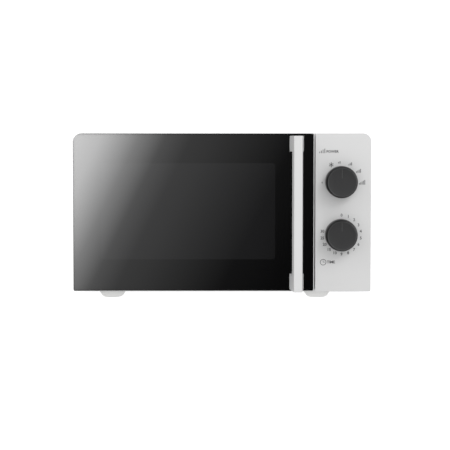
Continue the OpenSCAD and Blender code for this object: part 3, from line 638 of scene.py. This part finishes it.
def add_pointer(bm, face):
    """A low ridge on the knob's face. Returns its vertices."""
    low, high = KNOB_POINTER
    ridge = bmesh.ops.create_cube(bm, size=1)["verts"]
    bmesh.ops.scale(bm, vec=(0.9 * MM, high - low, 0.5 * MM), verts=ridge)
    bmesh.ops.translate(bm, vec=(0, (low + high) / 2, face - 0.1 * MM), verts=ridge)
    return ridge


def knob_slot(face, ridge):
    """A face's material: 0 on the knob's face, 1 on its side, painted darker as shade, 2 on the rim's
    edge, painted lighter as a highlight, and on the pointer.
    """
    middle = face.calc_center_median()
    out = math.hypot(middle.x, middle.y)
    if out > KNOB_FACE_R + 0.3 * MM:
        return 1
    if out > KNOB_FACE_R - 0.4 * MM or face.verts[0] in ridge:
        return 2
    return 0


def make_knob(name, node, shaft_body, axis):
    """Knob: flat grey face; bevelled rim with its side painted darker as shade and its edge painted
    lighter as a highlight; raised pointer line.
    """
    lo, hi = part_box(node)
    height = hi.y - lo.y
    turned = lathe(name, knob_profile(height), 96)
    bm = bmesh.new()
    bm.from_mesh(turned.data)
    ridge = add_pointer(bm, height - KNOB_FACE_DROP)
    for face in bm.faces:
        face.material_index = knob_slot(face, ridge)
    bm.to_mesh(turned.data)
    bm.free()
    turned.data.set_sharp_from_angle(angle=math.radians(38))
    for slot in ("knob_grey", "knob_rim", "knob_edge_highlight_and_pointer"):
        turned.data.materials.append(MATERIALS[slot])
    turned.location = (axis.x, hi.y, axis.z)
    turned.rotation_euler = (math.radians(90), 0, 0)
    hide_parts(node)
    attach(turned, shaft_body)


def make_knobs():
    make_knob("power_knob_cap", "power_knob", "power_control", POWER_AXIS)
    make_knob("timer_knob_cap", "timer_knob", "timer_control", TIMER_AXIS)


# ---- case screws ----

def island_boxes(obj):
    """Lowest and highest corner of each separate solid of a node."""
    bm = bmesh.new()
    bm.from_mesh(obj.data)
    bmesh.ops.remove_doubles(bm, verts=bm.verts, dist=SEAM)
    left = set(bm.verts)
    boxes = []
    while left:
        waiting = [left.pop()]
        group = []
        while waiting:
            vert = waiting.pop()
            group.append(obj.matrix_world @ vert.co)
            for edge in vert.link_edges:
                other = edge.other_vert(vert)
                if other in left:
                    left.remove(other)
                    waiting.append(other)
        boxes.append([Vector(pick(p[axis] for p in group) for axis in range(3))
                      for pick in (min, max)])
    bm.free()
    return sorted(boxes, key=lambda box: tuple(box[0]))


def cross_points(x, z, reach, half):
    """Outline of a cross with four equal arms."""
    quarter = [(reach, -half), (reach, half), (half, half)]
    turns = ((1, 0), (0, 1), (-1, 0), (0, -1))
    return [(x + c * a - d * b, z + d * a + c * b) for c, d in turns for a, b in quarter]


def make_case_screws():
    """Screws with a cross recess in their heads."""
    bm = bmesh.new()
    shaft_r, head_h, floor_h = 1.7 * MM, 2 * MM, 0.7 * MM
    for lo, hi in island_boxes(NODES["case_screws"]):
        x, z, r = (lo.x + hi.x) / 2, (lo.z + hi.z) / 2, (hi.x - lo.x) / 2
        seat = hi.y - head_h
        extrude_flat(bm, ring_points(x, z, shaft_r, 16), lo.y, seat)
        extrude_flat(bm, ring_points(x, z, r), seat, seat + floor_h)
        recess = cross_points(x, z, 0.6 * r, 0.14 * r)
        extrude_flat(bm, ring_points(x, z, r), seat + floor_h, hi.y, [recess])
    screws = bm_object("case_screw_heads", bm, "oven", ["shaft_steel"], 40)
    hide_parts("case_screws")


def make_latch_plate_lips():
    """Lips that close the narrow gaps between the latch plate and the front frame, above and below."""
    lo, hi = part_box("latch_plate")
    bm = bmesh.new()
    reach, overlap = 2.95 * MM, 0.5 * MM
    for z0, z1 in ((lo.z - reach, lo.z + overlap), (hi.z - overlap, hi.z + reach)):
        extrude_flat(bm, rounded_points((lo.x, z0), (hi.x, z1), 0.2 * MM, 2), hi.y, lo.y + 0.1 * MM)
    bm_object("latch_plate_lips", bm, "oven", [NODE_SLOT["latch_plate"]])


# ---- print on the panel ----

INK_T = 0.08 * MM                                      # thickness of the print


def ink_bar(bm, x, z, w, h):
    """A bar with its lower left corner at (x, z)."""
    extrude_flat(bm, [(x, z), (x + w, z), (x + w, z + h), (x, z + h)], Y_FRONT, Y_FRONT - INK_T)


def ink_stroke(bm, x, z, angle, length, w):
    """A bar centred on (x, z) and turned by an angle in degrees."""
    a = math.radians(angle)
    along = Vector((math.cos(a), math.sin(a))) * length / 2
    across = Vector((-math.sin(a), math.cos(a))) * w / 2
    corners = (-along - across, along - across, along + across, -along + across)
    extrude_flat(bm, [tuple(Vector((x, z)) + p) for p in corners], Y_FRONT, Y_FRONT - INK_T)


def ink_bars(bm, x, z, count, pitch, step=1.15 * MM):
    """Bars side by side that rise from left to right, centred on (x, z)."""
    w = 0.9 * MM
    first = 2.2 * MM
    left = x - ((count - 1) * pitch + w) / 2
    low = z - (first + (count - 1) * step) / 2
    for i in range(count):
        ink_bar(bm, left + i * pitch, low, w, first + i * step)


def ink_text(bm, body, x, z, size, align="CENTER"):
    """Letters or digits, centred on (x, z) or starting there."""
    curve = bpy.data.curves.new("ink", "FONT")
    curve.body, curve.size, curve.extrude = body, size, INK_T / 2
    curve.offset = 0.1 * MM
    curve.align_x, curve.align_y = align, "CENTER"
    curve.resolution_u = 3
    letters = bpy.data.objects.new("ink", curve)
    bpy.context.collection.objects.link(letters)
    bpy.context.view_layer.update()
    graph = bpy.context.evaluated_depsgraph_get()
    shape = bpy.data.meshes.new_from_object(letters.evaluated_get(graph))
    place = Matrix.Translation((x, Y_FRONT - INK_T / 2, z)) @ Matrix.Rotation(math.radians(90), 4, "X")
    shape.transform(place)
    bm.from_mesh(shape)
    bpy.data.meshes.remove(shape)
    bpy.data.objects.remove(letters)
    bpy.data.curves.remove(curve)


def ink_snowflake(bm, x, z, r):
    for angle in (90, 30, 150):
        ink_stroke(bm, x, z, angle, 2 * r, 0.75 * MM)
    for i in range(6):
        a = math.radians(30 + 60 * i)
        ink_stroke(bm, x + 0.72 * r * math.cos(a), z + 0.72 * r * math.sin(a), 120 + 60 * i,
                   1.5 * MM, 0.5 * MM)


def ink_clock(bm, x, z, r):
    extrude_flat(bm, ring_points(x, z, r), Y_FRONT, Y_FRONT - INK_T, [ring_points(x, z, r - 0.7 * MM)])
    ink_bar(bm, x - 0.25 * MM, z - 0.25 * MM, 0.5 * MM, r * 0.7)
    ink_bar(bm, x - 0.25 * MM, z - 0.25 * MM, r * 0.6, 0.5 * MM)


def round_dial(axis, angle, r):
    """Place at a clockwise angle from the top of a dial."""
    a = math.radians(angle)
    return axis.x + r * math.sin(a), axis.z + r * math.cos(a)


MARK_R = KNOB_R + 5 * MM                               # marks round both dials
BARS_SHIFT, DIGITS_SHIFT = 0.5 * MM, 1 * MM            # to the right of their places on the dial
HEADING_X = -28.5 * MM                                 # left end of both headings, from the dials


def print_power_dial(bm):
    """Power levels as one to five rising bars, and a snowflake for defrosting."""
    bar_pitch = 1.95 * MM
    for count, angle in ((1, -92), (2, -6), (3, 26), (4, 57), (5, 91)):
        x, z = round_dial(POWER_AXIS, angle, MARK_R + (count - 1) * 0.5 * MM)
        ink_bars(bm, x + BARS_SHIFT, z, count, bar_pitch)
    ink_snowflake(bm, *round_dial(POWER_AXIS, -30, MARK_R + 0.6 * MM), 3.6 * MM)


def print_timer_dial(bm):
    """Minutes from 0 to 30. The scale is wider up to 10 than above."""
    degrees_per_minute, digit_size = 20, 5.9 * MM
    minutes = [(minute, minute * degrees_per_minute) for minute in range(11)]
    minutes += [(15, 220), (20, 240), (25, 260), (30, 280)]
    for minute, angle in minutes:
        x, z = round_dial(TIMER_AXIS, angle, MARK_R + 0.3 * MM)
        ink_text(bm, str(minute), x + DIGITS_SHIFT, z, digit_size)


def print_headings(bm):
    """Bars and POWER above the upper dial, a clock and TIME below the lower one."""
    left, z = POWER_AXIS.x + HEADING_X, POWER_AXIS.z + 45.4 * MM
    bar_pitch, bar_step = 2.5 * MM, 1.5 * MM
    ink_bars(bm, left + 0.6 * MM, z + 0.3 * MM, 4, bar_pitch, bar_step)
    ink_text(bm, "POWER", left + 6.6 * MM, z - 0.8 * MM, 5.2 * MM, "LEFT")
    left, z = TIMER_AXIS.x + HEADING_X, TIMER_AXIS.z - 40.6 * MM
    ink_clock(bm, left + 2.4 * MM, z, 4.6 * MM)
    ink_text(bm, "TIME", left + 8 * MM, z, 5.6 * MM, "LEFT")


def make_panel_print():
    bm = bmesh.new()
    print_power_dial(bm)
    print_timer_dial(bm)
    print_headings(bm)
    bm_object("panel_print", bm, "oven", ["panel_ink"])


# ---- door ----

def make_glass_print():
    """The black border printed on the back of the glass, with a clear window."""
    bm = bmesh.new()
    inset, screw_hole_r = 0.5 * MM, 2.3 * MM
    corner, small = 12 * MM, 1.6 * MM
    y_back, y_front = glass_hi.y - 0.1 * MM, glass_hi.y - 0.25 * MM
    outer = rounded_points((glass_lo.x + inset, glass_lo.z + inset),
                           (glass_hi.x - inset, glass_hi.z - inset), (small, corner, small, small))
    window = rounded_points((WINDOW_X - WINDOW_W / 2, WINDOW_Z - WINDOW_H / 2),
                            (WINDOW_X + WINDOW_W / 2, WINDOW_Z + WINDOW_H / 2), WINDOW_R)
    screws = [ring_points(HANDLE_SCREW_X, z, screw_hole_r, 12) for z in HANDLE_SCREW_Z]
    extrude_flat(bm, outer, y_back, y_front, [window] + screws)
    bm_object("glass_print", bm, "door", ["black_print"])


def make_edge_lip():
    """The narrow lip of the door's frame that shows beside the glass's free edge."""
    end, corner_r = 2 * MM, 0.3 * MM
    y_back, y_front = glass_hi.y + 0.2 * MM, Y_FRONT + 0.5 * MM
    bm = bmesh.new()
    low = (glass_hi.x + 0.1 * MM, trim_lo.z + end)
    high = (trim_hi.x - 0.15 * MM, trim_hi.z - end)
    extrude_flat(bm, rounded_points(low, high, corner_r, 3), y_back, y_front)
    bm_object("door_edge_lip", bm, "door", ["trim_white"])


SCREEN_T = 1 * MM
SCREEN_CORNER_R = 3 * MM
HOLE_SIDES = 8
HOLE_R = 1.05 * MM
HOLE_PITCH = 3.2 * MM
HOLE_MARGIN = 6 * MM                                   # how far the field reaches past the window
HOLE_COLUMNS = int((WINDOW_W + HOLE_MARGIN) / HOLE_PITCH)
HOLE_ROWS = int((WINDOW_H + HOLE_MARGIN) / HOLE_PITCH)
HOLES_X0 = WINDOW_X - HOLE_COLUMNS * HOLE_PITCH / 2
HOLES_Z0 = WINDOW_Z - HOLE_ROWS * HOLE_PITCH / 2


class HoleSheet:
    """One face of the screen: a staggered field of holes in a plain border."""

    def __init__(self, bm, y):
        self.bm, self.y = bm, y
        self.grid = {}
        self.rings = []
        for j in range(HOLE_ROWS):
            shift = j % 2
            for k in range(HOLE_COLUMNS - shift):
                self.rings.append(self.hole_cell(2 * k + shift, j))
            if shift:
                self.plain_cell(0, j)
                self.plain_cell(2 * HOLE_COLUMNS - 1, j)
        self.rings.append(self.fill_border())

    def corner(self, i, j):
        """A point of the half-pitch grid, which neighbouring cells share."""
        if (i, j) not in self.grid:
            place = (HOLES_X0 + i * HOLE_PITCH / 2, self.y, HOLES_Z0 + j * HOLE_PITCH)
            self.grid[i, j] = self.bm.verts.new(place)
        return self.grid[i, j]

    def plain_cell(self, i, j):
        """A cell of half width without a hole, at the ends of the shifted rows."""
        places = ((i, j), (i + 1, j), (i + 1, j + 1), (i, j + 1))
        self.bm.faces.new([self.corner(*place) for place in places])

    def hole_cell(self, i, j):
        """The sheet round one hole. Returns the hole's vertices."""
        x, z = HOLES_X0 + (i + 1) * HOLE_PITCH / 2, HOLES_Z0 + (j + 0.5) * HOLE_PITCH
        ring = []
        for n in range(HOLE_SIDES):
            a = math.radians(22.5 + 45 * n)
            place = (x + HOLE_R * math.cos(a), self.y, z + HOLE_R * math.sin(a))
            ring.append(self.bm.verts.new(place))
        low_left, low, low_right = (self.corner(i + n, j) for n in range(3))
        top_left, top, top_right = (self.corner(i + n, j + 1) for n in range(3))
        self.bm.faces.new((low_right, top_right, ring[0], ring[7]))
        self.bm.faces.new((top_right, top, ring[1], ring[0]))
        self.bm.faces.new((top, top_left, ring[2], ring[1]))
        self.bm.faces.new((top_left, low_left, ring[4], ring[3], ring[2]))
        self.bm.faces.new((low_left, low, ring[5], ring[4]))
        self.bm.faces.new((low, low_right, ring[7], ring[6], ring[5]))
        return ring

    def fill_border(self):
        """The plain sheet round the field. Returns the vertices of its outline."""
        right, top = 2 * HOLE_COLUMNS, HOLE_ROWS
        inner = ([self.corner(i, 0) for i in range(right + 1)]
                 + [self.corner(right, j) for j in range(1, top + 1)]
                 + [self.corner(i, top) for i in range(right - 1, -1, -1)]
                 + [self.corner(0, j) for j in range(top - 1, 0, -1)])
        places = rounded_points((screen_lo.x, screen_lo.z), (screen_hi.x, screen_hi.z), SCREEN_CORNER_R)
        outline = [self.bm.verts.new((x, self.y, z)) for x, z in places]
        edges = loop_edges(self.bm, outline) + loop_edges(self.bm, inner)
        bmesh.ops.triangle_fill(self.bm, use_beauty=True, use_dissolve=False, edges=edges)
        return outline


def add_wall(bm, lo, hi, r):
    """A wall of the pan that follows a rounded rectangle, behind the sheet."""
    inner_lo = (lo[0] + SCREEN_T, lo[1] + SCREEN_T)
    inner_hi = (hi[0] - SCREEN_T, hi[1] - SCREEN_T)
    inner = rounded_points(inner_lo, inner_hi, r - SCREEN_T)
    extrude_flat(bm, rounded_points(lo, hi, r), screen_hi.y, screen_lo.y + SCREEN_T, [inner])


def make_screen():
    """The pan of sheet steel behind the glass, with a field of holes in its window."""
    bm = bmesh.new()
    front = HoleSheet(bm, screen_lo.y)
    back = HoleSheet(bm, screen_lo.y + SCREEN_T)
    for near, far in zip(front.rings, back.rings):
        for n in range(len(near)):
            m = (n + 1) % len(near)
            bm.faces.new((near[n], near[m], far[m], far[n]))
    add_wall(bm, (screen_lo.x, screen_lo.z), (screen_hi.x, screen_hi.z), SCREEN_CORNER_R)
    grow, corner_r = 9 * MM, 8 * MM
    low = (WINDOW_X - WINDOW_W / 2 - grow, WINDOW_Z - WINDOW_H / 2 - grow)
    high = (WINDOW_X + WINDOW_W / 2 + grow, WINDOW_Z + WINDOW_H / 2 + grow)
    add_wall(bm, low, high, corner_r)
    screen = bm_object("perforated_screen", bm, "door", ["screen_steel"])
    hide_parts("door_steel")


make_camera()
make_stage()
make_lights()
make_reflection_card()
make_reflectors()
dress_cad()
make_knobs()
make_case_screws()
make_latch_plate_lips()
make_panel_print()
make_glass_print()
make_edge_lip()
make_screen()
